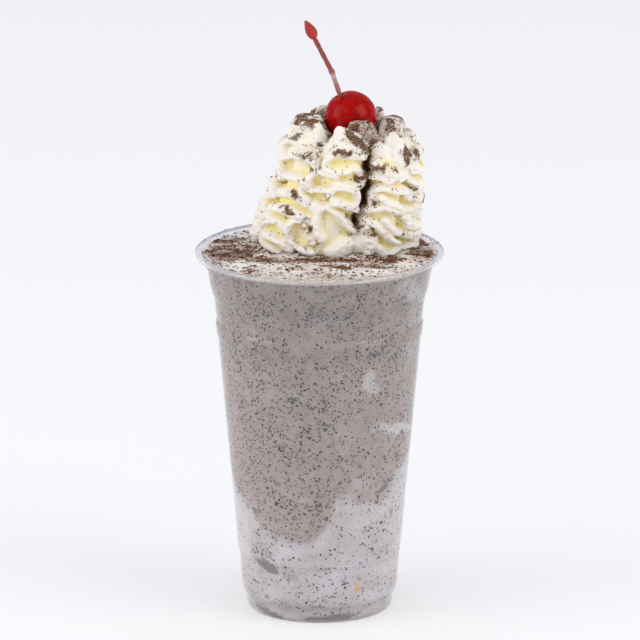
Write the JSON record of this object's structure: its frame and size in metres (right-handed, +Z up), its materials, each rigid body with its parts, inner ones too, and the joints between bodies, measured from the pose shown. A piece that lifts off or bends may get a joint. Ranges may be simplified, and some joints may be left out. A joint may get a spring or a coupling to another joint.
{
  "type": "milkshake in a cup",
  "caption": "Speckled coffee milkshake in a clear flared disposable cup, topped with a folded mound of whipped cream, cocoa and a cherry with its stem.",
  "frame": {"origin": "centre of the cup's foot, on the surface it stands on", "axes": "+Z up along the cup's axis; -Y is the front, from which the cherry's stem leans to the left (-X)"},
  "size_m": [0.098, 0.098, 0.2354],
  "materials": {
    "clear_cup": "clear, thin, slightly hazy plastic",
    "shake": "thick grey-brown shake with fine dark specks and paler marbling, matt foam on top",
    "cream": "soft whipped cream, warm yellow in the creases",
    "cherry_skin": "wet glossy red",
    "stem_skin": "thin syrup-coated stem, red bud end"
  },
  "bodies": {
    "root": {"cup": "clear_cup", "milkshake": "shake", "whipped_cream": "cream", "cherry": "cherry_skin", "cherry_stem": "stem_skin"}
  },
  "joints": []
}
